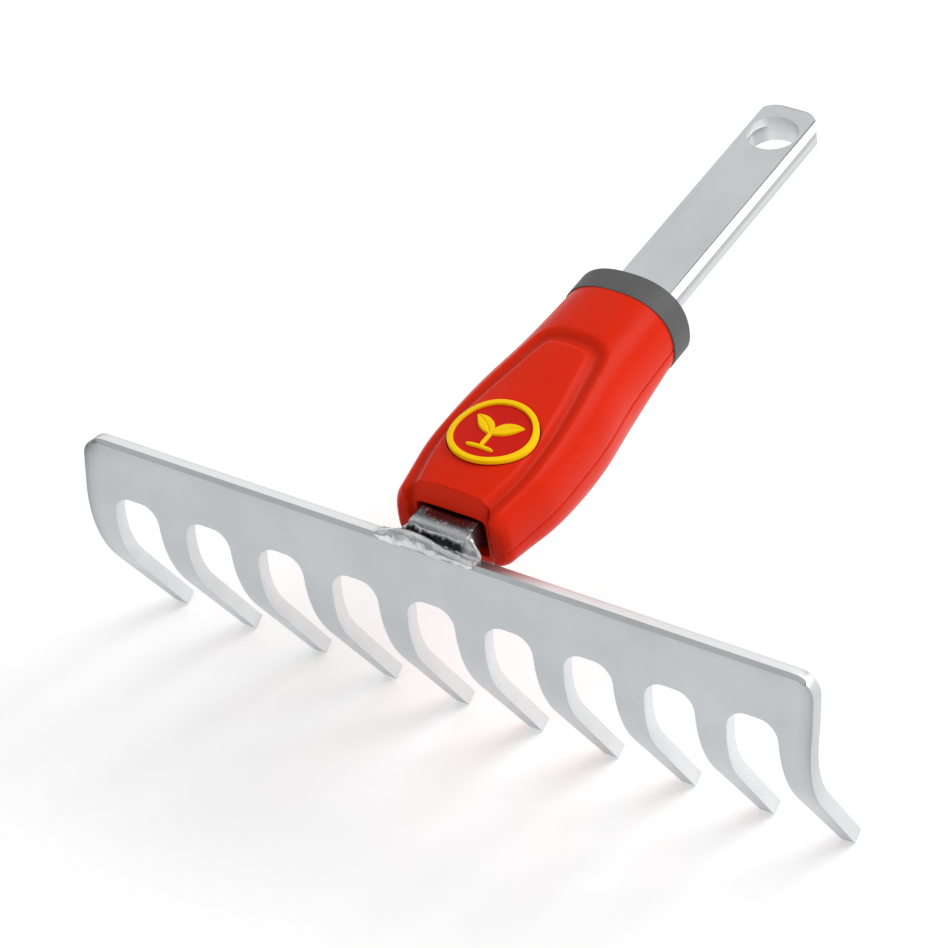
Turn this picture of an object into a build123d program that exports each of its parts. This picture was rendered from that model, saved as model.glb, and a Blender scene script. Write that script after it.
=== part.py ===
"""Hand rake head: a bent ten-tine comb, a flat steel tang and a quick-lock housing for a handle.

The frame follows the tang: +X runs along the comb, +Y along the tang towards the handle, +Z up.
The origin is the middle of the tang where the handle's end meets the collar. All lengths are in mm.
"""
import os
from math import cos, pi, radians, sin

from build123d import *

os.makedirs("parts", exist_ok=True)

# comb: one sheet-steel blank, bent as a whole, leaning back from the tang's square
COMB_WIDTH = 190.0
SHEET = 3.5
COMB_LEAN = 11.7
COMB_EDGE_Y = -89.9
COMB_EDGE_Z = -0.1
COMB_CORNER = 5.0
COMB_EDGE_BREAK = 0.9
TINES = 10
TINE_PITCH = 20.2
TINE_ROOT = 8.2
TINE_TIP = 3.6
GAP_TOP = 13.7
GAP_CORNER = 4.5
FLAT_LENGTH = 15.0
BEND_RADIUS = 33.0
BEND_ANGLE = 40.0
TINE_STRAIGHT = 30.2

# tang: a solid flat bar with faintly ridged sides and a hole to hang the tool by
TANG_WIDTH = 16.4
TANG_TOP_WIDTH = 14.9
TANG_THICK = 7.0
TANG_END_Y = 78.3
TANG_END_CORNER = 5.4
TANG_EDGE_BREAK = 0.5
HANG_HOLE_Y = 67.5
HANG_HOLE_R = 6.4

# weld beads between comb and tang
BEAD_FROM = -14.0
BEAD_TO = 11.5
BEAD_RISE = 2.4
BEAD_PROUD = 0.5
BEAD_LAP = 0.7
BEAD_LEG = 4.0

# housing: superellipse sections (y, half width, top, bottom, seam height) from nose to collar
WALL = 2.4
STATIONS = [
    (-80.6, 14.8, 9.8, -9.6, -2.7),
    (-73.2, 15.9, 10.6, -11.0, -2.7),
    (-65.2, 17.2, 11.1, -12.6, -2.6),
    (-55.2, 17.5, 11.4, -14.6, -2.5),
    (-43.2, 17.2, 11.3, -15.6, -2.3),
    (-27.2, 15.3, 11.4, -15.8, -2.1),
    (-7.4, 14.5, 11.1, -11.9, -1.7),
]
SIDE_POWER = 2.3
TOP_POWER_NOSE = 3.0
TOP_POWER_COLLAR = 2.4
NOSE_ROUND = 2.0
SECTION_POINTS = 24
NOSE_Y = STATIONS[0][0]
COLLAR_Y = STATIONS[-1][0]
MOUTH_HALF_WIDTH = 8.8
MOUTH_TOP = 4.1
MOUTH_BOTTOM = -6.6

# thumb panel: an arch-shaped groove pressed into the upper shell
GROOVE_WIDTH = 2.2
GROOVE_DEPTH = 0.8
GROOVE_NOSE_X = 10.4
GROOVE_WIDE = (13.8, -52.0)
GROOVE_SHOULDER = (11.2, -35.6)
GROOVE_TOP_Y = -23.4

# collar and the handle socket behind it
COLLAR_SEAM = -1.7
COLLAR = (14.9, 11.3, -12.2)
COLLAR_LIP = 1.8
COLLAR_ROUND = 0.8
SPIGOT = (13.3, 9.8, -10.5)
SOCKET = (11.6, 8.3, -9.0)
SOCKET_END_Y = -69.0
RIB_PLACES = (-46.0, -30.0, -12.0)
RIB_THICK = 2.0

# lock: a round push-button on a keyed bolt, held up by a coil spring in the tang
BUTTON_Y = -60.6
BUTTON_R = 10.35
BUTTON_GAP = 0.2
CAP_TOP = 11.6
CAP_SKIN = 2.4
CAP_SKIRT = 2.9
CAP_SKIRT_WALL = 1.4
RING_TOP = 12.2
RING_INNER_R = 8.9
RING_DEPTH = 1.0
RING_ROUND = 0.35
CROWN_R = 43.0
BADGE_THICK = 0.5
LEAF_LENGTH = 7.8
LEAF_BULGE = 1.9
LEAF_LIFT = 38.0
LEAF_FOOT_Y = -1.2
STALK_WIDTH = 1.1
STALK_LENGTH = 4.6
SOIL_WIDTH = 7.0
BOLT_NECK_R = 2.2
BOLT_KEY_R = 4.2
BOLT_KEY_Z = (6.1, 8.0)
BOLT_STEM_R = 1.5
BOLT_CLEARANCE = 0.05
BOLT_GROOVE_R = 1.2
BOLT_END_Z = -5.6
POCKET_R = 4.7
POCKET_FLOOR = -1.4
CLIP_R = 3.2
CLIP_THICK = 0.8
CLIP_GAP = 0.05
CLIP_GRIP = 0.8
SPRING_R = 3.2
SPRING_WIRE = 0.8
SPRING_TURNS = 3

# nose block around the tang, and the screw that ties shells, block and tang together
BLOCK_HALF_WIDTH = 10.6
BLOCK_BOTTOM = -7.0
BLOCK_TOP = 6.4
BLOCK_FRONT_Y = -77.4
SCREW_Y = -74.6
SCREW_R = 1.75
SCREW_HEAD_R = 3.1
SCREW_HEAD_Z = (-10.5, -8.9)
SCREW_TIP_Z = 8.4
SCREW_TIP_R = 0.6
SCREW_SLOT = 0.9
SCREW_HEAD_ROUND = 0.6
BOSS_R = 3.9

half_tang = TANG_THICK / 2
lean = radians(COMB_LEAN)
comb_back = Vector(0, cos(lean), -sin(lean))
comb_edge = Vector(0, COMB_EDGE_Y, COMB_EDGE_Z)
comb_face_plane = Plane(origin=comb_edge, x_dir=(1, 0, 0), z_dir=-comb_back)


def comb_side_plane(x):
    """Side view of the comb at x: local x is its thickness, local y runs up its face."""
    return Plane(origin=comb_edge + Vector(x, 0, 0), x_dir=comb_back, z_dir=(1, 0, 0))


def oval_points(half_width, top, bottom, seam, top_power, low_power):
    """Points of a closed superellipse, widest at the seam height, from its lower left round."""
    points = []
    for i in range(SECTION_POINTS):
        turn = 2 * pi * i / SECTION_POINTS + 5 * pi / 4
        power = top_power if sin(turn) >= 0 else low_power
        reach = top - seam if sin(turn) >= 0 else seam - bottom
        across = half_width * abs(cos(turn)) ** (2 / power) * (1 if cos(turn) >= 0 else -1)
        rise = reach * abs(sin(turn)) ** (2 / power) * (1 if sin(turn) >= 0 else -1)
        points.append((across, seam + rise))
    return points


def oval_prism(y_from, y_to, half_width, top, bottom):
    """A straight oval prism along Y, for the collar, the spigot and the handle's socket."""
    outline = oval_points(half_width, top, bottom, COLLAR_SEAM, TOP_POWER_COLLAR, SIDE_POWER)
    with BuildPart() as prism:
        with BuildSketch(Plane.XZ.offset(-y_from)):
            with BuildLine():
                Spline(*outline, periodic=True)
            make_face()
        extrude(amount=-(y_to - y_from))
    return prism.part


def housing_body(inset):
    """The housing's outer form, or the same form moved in by inset for its hollow."""
    with BuildPart() as body:
        for y, half_width, top, bottom, seam in STATIONS:
            along = (y - NOSE_Y) / (COLLAR_Y - NOSE_Y)
            top_power = TOP_POWER_NOSE + (TOP_POWER_COLLAR - TOP_POWER_NOSE) * along
            outline = oval_points(half_width - inset, top - inset, bottom + inset, seam,
                                  top_power, SIDE_POWER)
            with BuildSketch(Plane.XZ.offset(-y)):
                with BuildLine():
                    Spline(*outline, periodic=True)
                make_face()
        loft()
    return body.part


# ---------------------------------------------------------------- comb, tang and weld beads

with BuildPart() as rake_comb:
    with BuildSketch(comb_side_plane(-COMB_WIDTH / 2)):
        with BuildLine():
            front = Line((0, 0), (0, -FLAT_LENGTH))
            outer_bend = JernArc(front @ 1, front % 1, BEND_RADIUS + SHEET / 2, BEND_ANGLE)
            outer_leg = PolarLine(outer_bend @ 1, TINE_STRAIGHT, direction=outer_bend % 1)
            tip = PolarLine(outer_leg @ 1, SHEET, angle=BEND_ANGLE)
            inner_leg = PolarLine(tip @ 1, TINE_STRAIGHT, direction=-(outer_bend % 1))
            inner_bend = JernArc(inner_leg @ 1, inner_leg % 1, BEND_RADIUS - SHEET / 2, -BEND_ANGLE)
            Polyline(inner_bend @ 1, (SHEET, 0), (0, 0))
        make_face()
    extrude(amount=COMB_WIDTH)
    front_edge = rake_comb.edges().filter_by(Axis.X).sort_by_distance(comb_edge)[0]
    chamfer(front_edge, COMB_EDGE_BREAK)
    with BuildSketch(comb_face_plane) as outline:
        Rectangle(COMB_WIDTH, COMB_WIDTH, align=(Align.CENTER, Align.MAX))
        fillet(outline.vertices().group_by(Axis.Y)[-1], COMB_CORNER)
    extrude(amount=2 * BEND_RADIUS, both=True, mode=Mode.INTERSECT)
    with BuildSketch(comb_face_plane) as gaps:
        reach = GAP_TOP + BEND_RADIUS + TINE_STRAIGHT
        root_half = (TINE_PITCH - TINE_ROOT) / 2
        tine_drop = FLAT_LENGTH + BEND_RADIUS * sin(radians(BEND_ANGLE))
        tine_drop += TINE_STRAIGHT * cos(radians(BEND_ANGLE))
        widening = (TINE_ROOT - TINE_TIP) / 2 / (tine_drop - GAP_TOP)
        end_half = root_half + widening * (reach - GAP_TOP)
        with GridLocations(TINE_PITCH, 1, TINES + 1, 1):
            Polygon((-root_half, -GAP_TOP), (root_half, -GAP_TOP), (end_half, -reach),
                    (-end_half, -reach), align=None)
        fillet(gaps.vertices().group_by(Axis.Y)[-1], GAP_CORNER)
    extrude(amount=2 * BEND_RADIUS, both=True, mode=Mode.SUBTRACT)

with BuildPart() as tang_bar:
    with BuildSketch(Plane.XZ.offset(-TANG_END_Y)):
        with BuildLine():
            Polyline((TANG_TOP_WIDTH / 2, half_tang), (TANG_WIDTH / 2, 0),
                     (TANG_TOP_WIDTH / 2, -half_tang), (-TANG_TOP_WIDTH / 2, -half_tang),
                     (-TANG_WIDTH / 2, 0), (-TANG_TOP_WIDTH / 2, half_tang), close=True)
        make_face()
    extrude(amount=TANG_END_Y - COMB_EDGE_Y)
    fillet(tang_bar.edges().filter_by(Axis.Y), TANG_EDGE_BREAK)
    split(bisect_by=Plane(origin=comb_edge + comb_back * SHEET, x_dir=(1, 0, 0), z_dir=comb_back),
          keep=Keep.TOP)
    with BuildSketch(Plane.XY.offset(-half_tang)) as plan:
        length = TANG_END_Y - COMB_EDGE_Y
        with Locations((0, TANG_END_Y - length / 2)):
            Rectangle(TANG_WIDTH, length)
        fillet(plan.vertices().group_by(Axis.Y)[-1], TANG_END_CORNER)
    extrude(amount=TANG_THICK, mode=Mode.INTERSECT)
    with Locations((0, HANG_HOLE_Y, half_tang)):
        Hole(HANG_HOLE_R)
    with Locations((0, BUTTON_Y, half_tang)):
        CounterBoreHole(BOLT_STEM_R + BOLT_CLEARANCE, POCKET_R, half_tang - POCKET_FLOOR)
    with Locations((0, SCREW_Y, half_tang)):
        Hole(SCREW_R + BUTTON_GAP)

with BuildPart() as weld_bead_top:
    tang_top = (half_tang - COMB_EDGE_Z) / cos(lean) + SHEET * sin(lean) / cos(lean)
    with BuildSketch(comb_side_plane(BEAD_FROM)):
        with BuildLine():
            Spline((0, -BEAD_LAP), (-BEAD_PROUD, BEAD_RISE / 4), (SHEET / 2, BEAD_RISE),
                   (SHEET + BEAD_PROUD, BEAD_RISE / 2), (SHEET, 0))
            Polyline((SHEET, 0), (0, 0), (0, -BEAD_LAP))
        make_face()
    extrude(amount=BEAD_TO - BEAD_FROM)
    with BuildSketch(comb_side_plane(-TANG_TOP_WIDTH / 2)):
        Polygon((BEAD_PROUD, BEAD_RISE / 2), (SHEET, 0), (SHEET, tang_top),
                (SHEET - BEAD_PROUD, tang_top), align=None)
    extrude(amount=TANG_TOP_WIDTH)
    add(tang_bar.part, mode=Mode.SUBTRACT)

with BuildPart() as weld_bead_under:
    with BuildSketch(comb_side_plane(-TANG_TOP_WIDTH / 2)):
        tang_low = tang_top - TANG_THICK / cos(lean)
        heel = (SHEET + BEAD_LEG * cos(lean), tang_low + BEAD_LEG * sin(lean))
        with BuildLine():
            Polyline((SHEET, tang_low - BEAD_LEG), (SHEET, tang_low), heel)
            RadiusArc(heel, (SHEET, tang_low - BEAD_LEG), 2 * BEAD_LEG)
        make_face()
    extrude(amount=TANG_TOP_WIDTH)

# ---------------------------------------------------------------- housing shells and collar

outer_form = housing_body(0)
seam_rise = STATIONS[-1][4] - STATIONS[0][4]
seam_plane = Plane(origin=(0, NOSE_Y, STATIONS[0][4]), x_dir=(1, 0, 0),
                   z_dir=(0, -seam_rise, COLLAR_Y - NOSE_Y))

inner_form = housing_body(WALL)

with BuildPart() as hollow:
    add(inner_form)
    with Locations((0, NOSE_Y, 0)):
        Box(COMB_WIDTH, 2 * WALL, COMB_WIDTH, mode=Mode.SUBTRACT)
    with Locations(*[(0, y, 0) for y in RIB_PLACES]):
        Box(COMB_WIDTH, RIB_THICK, COMB_WIDTH, mode=Mode.SUBTRACT)
    with Locations((0, SCREW_Y, 0)):
        Cylinder(BOSS_R, COMB_WIDTH, mode=Mode.SUBTRACT)

with BuildPart() as groove:
    with BuildSketch():
        with BuildLine():
            near_side = [(0, GROOVE_TOP_Y), GROOVE_SHOULDER, GROOVE_WIDE,
                         (GROOVE_NOSE_X, NOSE_Y - WALL)]
            far_side = [(-x, y) for x, y in reversed(near_side[1:])]
            Spline(*far_side, *near_side)
        trace(line_width=GROOVE_WIDTH)
    extrude(amount=2 * STATIONS[0][2])
    add(housing_body(GROOVE_DEPTH), mode=Mode.SUBTRACT)

with BuildPart() as housing:
    add(outer_form)
    fillet(housing.faces().sort_by(Axis.Y)[0].edges(), NOSE_ROUND)
    add(oval_prism(COLLAR_Y, -COLLAR_LIP, *SPIGOT))
    add(hollow.part, mode=Mode.SUBTRACT)
    add(oval_prism(SOCKET_END_Y, 0, *SOCKET), mode=Mode.SUBTRACT)
    add(groove.part, mode=Mode.SUBTRACT)
    with Locations((0, NOSE_Y, (MOUTH_TOP + MOUTH_BOTTOM) / 2)):
        Box(2 * MOUTH_HALF_WIDTH, 4 * WALL, MOUTH_TOP - MOUTH_BOTTOM, mode=Mode.SUBTRACT)
    with Locations((0, (BLOCK_FRONT_Y + SOCKET_END_Y) / 2, (BLOCK_TOP + BLOCK_BOTTOM) / 2)):
        Box(2 * BLOCK_HALF_WIDTH, SOCKET_END_Y - BLOCK_FRONT_Y, BLOCK_TOP - BLOCK_BOTTOM,
            mode=Mode.SUBTRACT)
    with Locations((0, BUTTON_Y, STATIONS[3][2])):
        Cylinder(BUTTON_R + BUTTON_GAP, 4 * WALL, mode=Mode.SUBTRACT)
    with Locations((0, SCREW_Y, 0)):
        Cylinder(SCREW_R, 2 * SCREW_TIP_Z, mode=Mode.SUBTRACT)
    with Locations(Location((0, SCREW_Y, SCREW_HEAD_Z[1]), (180, 0, 0))):
        Hole(SCREW_HEAD_R + BUTTON_GAP, depth=3 * WALL)

with BuildPart() as upper_shell:
    add(housing.part)
    split(bisect_by=seam_plane, keep=Keep.TOP)

with BuildPart() as lower_shell:
    add(housing.part)
    split(bisect_by=seam_plane, keep=Keep.BOTTOM)

with BuildPart() as collar_ring:
    add(oval_prism(COLLAR_Y, 0, *COLLAR))
    fillet(collar_ring.faces().sort_by(Axis.Y)[-1].edges(), COLLAR_ROUND)
    add(oval_prism(COLLAR_Y, -COLLAR_LIP, *SPIGOT), mode=Mode.SUBTRACT)
    add(oval_prism(COLLAR_Y, 0, *SOCKET), mode=Mode.SUBTRACT)

with BuildPart() as nose_block:
    with Locations((0, (BLOCK_FRONT_Y + SOCKET_END_Y) / 2, (BLOCK_TOP + BLOCK_BOTTOM) / 2)):
        Box(2 * BLOCK_HALF_WIDTH, SOCKET_END_Y - BLOCK_FRONT_Y, BLOCK_TOP - BLOCK_BOTTOM)
    add(inner_form, mode=Mode.INTERSECT)
    add(tang_bar.part, mode=Mode.SUBTRACT)
    with Locations((0, SCREW_Y, 0)):
        Cylinder(SCREW_R + BUTTON_GAP, 4 * BLOCK_TOP, mode=Mode.SUBTRACT)

with BuildPart() as housing_screw:
    with BuildSketch(Plane.XZ.offset(-SCREW_Y)):
        with BuildLine():
            head_low, head_high = SCREW_HEAD_Z
            Polyline((0, head_low), (SCREW_HEAD_R - SCREW_HEAD_ROUND, head_low),
                     (SCREW_HEAD_R, head_low + SCREW_HEAD_ROUND), (SCREW_HEAD_R, head_high),
                     (SCREW_R, head_high), (SCREW_R, SCREW_TIP_Z - SCREW_R),
                     (SCREW_TIP_R, SCREW_TIP_Z), (0, SCREW_TIP_Z), close=True)
        make_face()
    revolve(axis=Axis((0, SCREW_Y, 0), (0, 0, 1)))
    with Locations((0, SCREW_Y, head_low)):
        Box(SCREW_SLOT, SCREW_HEAD_R, SCREW_SLOT * 2, mode=Mode.SUBTRACT)
        Box(SCREW_HEAD_R, SCREW_SLOT, SCREW_SLOT * 2, mode=Mode.SUBTRACT)

# ---------------------------------------------------------------- push-button lock

button_plane = Plane(origin=(0, BUTTON_Y, 0))
button_axis = Axis((0, BUTTON_Y, 0), (0, 0, 1))


def crown(top):
    """A long round bar along Y whose highest line is at top; it gives the button its arched faces."""
    with BuildPart() as bar:
        with Locations(Location((0, BUTTON_Y, top - CROWN_R), (90, 0, 0))):
            Cylinder(CROWN_R, 4 * BUTTON_R)
    return bar.part


with BuildPart() as button_ring:
    with BuildSketch(button_plane.offset(CAP_TOP - CAP_SKIN)):
        Circle(BUTTON_R)
        Circle(RING_INNER_R, mode=Mode.SUBTRACT)
    extrude(amount=2 * CAP_SKIN)
    add(crown(RING_TOP - RING_DEPTH), mode=Mode.SUBTRACT)
    add(crown(RING_TOP), mode=Mode.INTERSECT)
    fillet(button_ring.faces().sort_by(Axis.Z)[-1].edges(), RING_ROUND)

with BuildPart() as button_cap:
    with BuildSketch(button_plane.offset(CAP_TOP - CAP_SKIRT)):
        Circle(BUTTON_R)
        Circle(BUTTON_R - CAP_SKIRT_WALL, mode=Mode.SUBTRACT)
    extrude(amount=CAP_SKIRT - CAP_SKIN)
    with BuildSketch(button_plane.offset(CAP_TOP - CAP_SKIN)):
        Circle(BUTTON_R)
    extrude(amount=CAP_SKIN)
    add(crown(CAP_TOP), mode=Mode.INTERSECT)
    add(button_ring.part, mode=Mode.SUBTRACT)

with BuildPart() as button_badge:
    with BuildSketch(button_plane.offset(CAP_TOP - CAP_SKIN)):
        for side in (1, -1):
            with BuildLine():
                leaf_tip = (side * LEAF_LENGTH * cos(radians(LEAF_LIFT)),
                            LEAF_FOOT_Y + LEAF_LENGTH * sin(radians(LEAF_LIFT)))
                SagittaArc((0, LEAF_FOOT_Y), leaf_tip, LEAF_BULGE)
                SagittaArc(leaf_tip, (0, LEAF_FOOT_Y), LEAF_BULGE)
            make_face()
        with Locations((0, LEAF_FOOT_Y)):
            Rectangle(STALK_WIDTH, STALK_LENGTH, align=(Align.CENTER, Align.MAX))
        with Locations((0, LEAF_FOOT_Y - STALK_LENGTH)):
            SlotOverall(SOIL_WIDTH, STALK_WIDTH)
    extrude(amount=2 * CAP_SKIN)
    add(crown(CAP_TOP), mode=Mode.SUBTRACT)
    add(crown(CAP_TOP + BADGE_THICK), mode=Mode.INTERSECT)

with BuildPart() as lock_bolt:
    with BuildSketch(Plane.XZ.offset(-BUTTON_Y)):
        with BuildLine():
            key_low, key_high = BOLT_KEY_Z
            clip_high = -half_tang - CLIP_GAP
            clip_low = clip_high - CLIP_THICK
            Polyline((0, BOLT_END_Z), (BOLT_STEM_R, BOLT_END_Z), (BOLT_STEM_R, clip_low),
                     (BOLT_GROOVE_R, clip_low), (BOLT_GROOVE_R, clip_high),
                     (BOLT_STEM_R, clip_high), (BOLT_STEM_R, key_low), (BOLT_KEY_R, key_low),
                     (BOLT_KEY_R, key_high), (BOLT_NECK_R, key_high),
                     (BOLT_NECK_R, CAP_TOP - CAP_SKIN), (0, CAP_TOP - CAP_SKIN), close=True)
        make_face()
    revolve(axis=button_axis)

with BuildPart() as retaining_clip:
    with BuildSketch(button_plane.offset(clip_low)):
        Circle(CLIP_R)
        Circle(BOLT_GROOVE_R, mode=Mode.SUBTRACT)
        with Locations((CLIP_R, 0)):
            Rectangle(2 * CLIP_R, 2 * BOLT_GROOVE_R * CLIP_GRIP, mode=Mode.SUBTRACT)
    extrude(amount=CLIP_THICK)

with BuildPart() as button_spring:
    with BuildLine():
        spring_height = key_low - POCKET_FLOOR - SPRING_WIRE
        coil = Helix(spring_height / SPRING_TURNS, spring_height, SPRING_R,
                     center=(0, BUTTON_Y, POCKET_FLOOR + SPRING_WIRE / 2))
    with BuildSketch(Plane(origin=coil @ 0, z_dir=coil % 0)):
        Circle(SPRING_WIRE / 2)
    sweep(is_frenet=True)

pieces = {
    "rake_comb": rake_comb, "tang_bar": tang_bar, "weld_bead_top": weld_bead_top,
    "weld_bead_under": weld_bead_under, "upper_shell": upper_shell, "lower_shell": lower_shell,
    "collar_ring": collar_ring, "nose_block": nose_block, "housing_screw": housing_screw,
    "button_cap": button_cap, "button_ring": button_ring, "button_badge": button_badge,
    "lock_bolt": lock_bolt, "retaining_clip": retaining_clip, "button_spring": button_spring,
}
for node_name, piece in pieces.items():
    piece.part.label = node_name
    export_step(piece.part, f"parts/{node_name}.step")
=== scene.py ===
"""Looks of a hand rake head: plated steel comb and tang, red plastic housing and a push-button.

Sizes are in mm and become metres when a piece is made. The frame is the CAD's: +X along the comb,
+Y along the tang towards the handle, +Z up.
"""
from math import asin, cos, hypot, pi, radians, sin, sqrt

import bmesh
import bpy
import numpy as np
from mathutils import Matrix, Vector, noise


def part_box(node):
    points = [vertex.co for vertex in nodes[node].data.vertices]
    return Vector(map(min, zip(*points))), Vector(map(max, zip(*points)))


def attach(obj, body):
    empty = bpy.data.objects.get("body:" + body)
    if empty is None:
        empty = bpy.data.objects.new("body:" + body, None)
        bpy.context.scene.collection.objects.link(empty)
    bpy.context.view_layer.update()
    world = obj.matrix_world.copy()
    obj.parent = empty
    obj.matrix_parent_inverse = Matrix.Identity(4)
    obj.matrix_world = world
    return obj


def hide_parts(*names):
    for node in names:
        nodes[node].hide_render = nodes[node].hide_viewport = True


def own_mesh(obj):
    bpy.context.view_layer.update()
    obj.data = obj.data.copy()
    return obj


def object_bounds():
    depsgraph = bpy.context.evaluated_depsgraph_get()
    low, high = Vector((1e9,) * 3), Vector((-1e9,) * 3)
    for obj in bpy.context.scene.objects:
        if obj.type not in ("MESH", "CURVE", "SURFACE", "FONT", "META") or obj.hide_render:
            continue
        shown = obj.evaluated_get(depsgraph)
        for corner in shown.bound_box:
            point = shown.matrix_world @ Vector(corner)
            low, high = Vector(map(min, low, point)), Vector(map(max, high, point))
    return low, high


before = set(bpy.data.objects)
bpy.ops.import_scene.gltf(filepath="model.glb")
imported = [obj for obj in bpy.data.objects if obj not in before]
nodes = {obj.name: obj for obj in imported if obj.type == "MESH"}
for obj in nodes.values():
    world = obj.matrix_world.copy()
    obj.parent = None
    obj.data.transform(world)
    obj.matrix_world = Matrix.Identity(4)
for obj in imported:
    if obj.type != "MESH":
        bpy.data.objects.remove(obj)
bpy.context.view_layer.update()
MM = 0.001


# ------------------------------------------------------------------------------- mesh helpers

def smoothstep(low, high, value):
    share = min(1.0, max(0.0, (value - low) / (high - low)))
    return share * share * (3 - 2 * share)


def curve_through(stops, at):
    """Values at the given places on a smooth curve through (place, value) stops."""
    places, values = np.array(stops, float).T
    slopes = np.gradient(values, places)
    at = np.clip(np.asarray(at, float), places[0], places[-1])
    i = np.clip(np.searchsorted(places, at) - 1, 0, len(places) - 2)
    gap = places[i + 1] - places[i]
    t = (at - places[i]) / gap
    return ((2 * t**3 - 3 * t**2 + 1) * values[i] + (t**3 - 2 * t**2 + t) * gap * slopes[i]
            + (3 * t**2 - 2 * t**3) * values[i + 1] + (t**3 - t**2) * gap * slopes[i + 1])


def grid_faces(bm, rows, closed_rows=False, closed_columns=False):
    """Quads between rows of points, each row as long as the others."""
    made = [[bm.verts.new(p) for p in row] for row in rows]
    row_pairs = list(zip(made, made[1:])) + ([(made[-1], made[0])] if closed_rows else [])
    for near, far in row_pairs:
        columns = range(len(near) if closed_columns else len(near) - 1)
        for j in columns:
            k = (j + 1) % len(near)
            bm.faces.new((near[j], near[k], far[k], far[j]))
    return made


def close_ends(bm):
    """Fills the open ends of a tube-like mesh and points every face outwards."""
    open_edges = [e for e in bm.edges if e.is_boundary]
    filled = bmesh.ops.holes_fill(bm, edges=open_edges, sides=0)["faces"]
    bmesh.ops.triangulate(bm, faces=filled)
    bmesh.ops.recalc_face_normals(bm, faces=bm.faces[:])


def sharp_edges(bm, angle, test=lambda edge: True):
    return [e for e in bm.edges
            if len(e.link_faces) == 2 and e.calc_face_angle(0) > radians(angle) and test(e)]


def round_edges(bm, width, angle=40, segments=3, test=lambda edge: True):
    bmesh.ops.bevel(bm, geom=sharp_edges(bm, angle, test), offset=width, segments=segments,
                    profile=0.5, affect="EDGES", clamp_overlap=True)


def piece(name, bm, body, slot, material, *replaced, crease=32):
    """One finished piece from a mesh in mm: it rides on its body and stands for CAD nodes."""
    bmesh.ops.scale(bm, vec=(MM, MM, MM), verts=bm.verts[:])
    mesh = bpy.data.meshes.new(name)
    bm.to_mesh(mesh)
    bm.free()
    mesh.shade_smooth()
    mesh.set_sharp_from_angle(angle=radians(crease))
    made = bpy.data.objects.new(name, mesh)
    bpy.context.scene.collection.objects.link(made)
    mesh.materials.append(material)
    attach(made, body)
    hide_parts(*replaced)
    return made


def cut(solid, cutter_bm):
    """Takes a closed form, given as a mesh in mm, out of a finished piece."""
    bmesh.ops.recalc_face_normals(cutter_bm, faces=cutter_bm.faces[:])
    bmesh.ops.scale(cutter_bm, vec=(MM, MM, MM), verts=cutter_bm.verts[:])
    mesh = bpy.data.meshes.new("cutter")
    cutter_bm.to_mesh(mesh)
    cutter_bm.free()
    cutter = bpy.data.objects.new("cutter", mesh)
    bpy.context.scene.collection.objects.link(cutter)
    boolean = solid.modifiers.new("cut", "BOOLEAN")
    boolean.object, boolean.solver, boolean.operation = cutter, "EXACT", "DIFFERENCE"
    graph = bpy.context.evaluated_depsgraph_get()
    shaped = bpy.data.meshes.new_from_object(solid.evaluated_get(graph))
    solid.modifiers.clear()
    solid.data = shaped
    bpy.data.objects.remove(cutter)


# ------------------------------------------------------------------------------- materials

def new_material(name, **sockets):
    made = bpy.data.materials.new(name)
    made.use_nodes = True
    shader = made.node_tree.nodes["Principled BSDF"]
    for socket, value in sockets.items():
        shader.inputs[socket.replace("_", " ")].default_value = value
    return made, made.node_tree, shader


def noise_factor(tree, scale, detail=4, roughness=0.5, stretch=(1, 1, 1)):
    """Noise over the object's own space, with scale in features per metre."""
    place = tree.nodes.new("ShaderNodeTexCoord")
    mapping = tree.nodes.new("ShaderNodeMapping")
    mapping.inputs["Scale"].default_value = stretch
    texture = tree.nodes.new("ShaderNodeTexNoise")
    texture.inputs["Scale"].default_value = scale
    texture.inputs["Detail"].default_value = detail
    texture.inputs["Roughness"].default_value = roughness
    texture.inputs["Distortion"].default_value = 0
    tree.links.new(place.outputs["Object"], mapping.inputs["Vector"])
    tree.links.new(mapping.outputs["Vector"], texture.inputs["Vector"])
    return texture.outputs["Fac"]


def one_axis(tree, kind, output, axis, gain=1.0, offset=0.0):
    """One axis of a node's vector output, times gain, plus offset; with no offset its size counts."""
    source = tree.nodes.new(kind)
    split = tree.nodes.new("ShaderNodeSeparateXYZ")
    scaled = tree.nodes.new("ShaderNodeMath")
    scaled.operation = "MULTIPLY_ADD"
    scaled.inputs[1].default_value, scaled.inputs[2].default_value = gain, offset
    tree.links.new(source.outputs[output], split.inputs[0])
    tree.links.new(split.outputs[axis], scaled.inputs[0])
    if offset:
        return scaled.outputs[0]
    size = tree.nodes.new("ShaderNodeMath")
    size.operation = "ABSOLUTE"
    tree.links.new(scaled.outputs[0], size.inputs[0])
    return size.outputs[0]


def object_axis(tree, axis, gain, offset=0.0):
    """A place on the object along one axis in metres, made large enough for a ramp's 256 steps."""
    return one_axis(tree, "ShaderNodeTexCoord", "Object", axis, gain, offset)


def normal_axis(tree, axis, gain=1.0, offset=0.0):
    return one_axis(tree, "ShaderNodeNewGeometry", "Normal", axis, gain, offset)


def ramp(tree, factor, *stops):
    """A colour ramp through (place, colour) stops, where a colour is a grey level or three values."""
    made = tree.nodes.new("ShaderNodeValToRGB")
    elements = made.color_ramp.elements
    while len(elements) < len(stops):
        elements.new(0.5)
    for element, (place, colour) in zip(elements, stops):
        element.position = place
        element.color = (*colour, 1) if isinstance(colour, tuple) else (colour,) * 3 + (1,)
    tree.links.new(factor, made.inputs["Fac"])
    return made.outputs["Color"]


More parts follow.
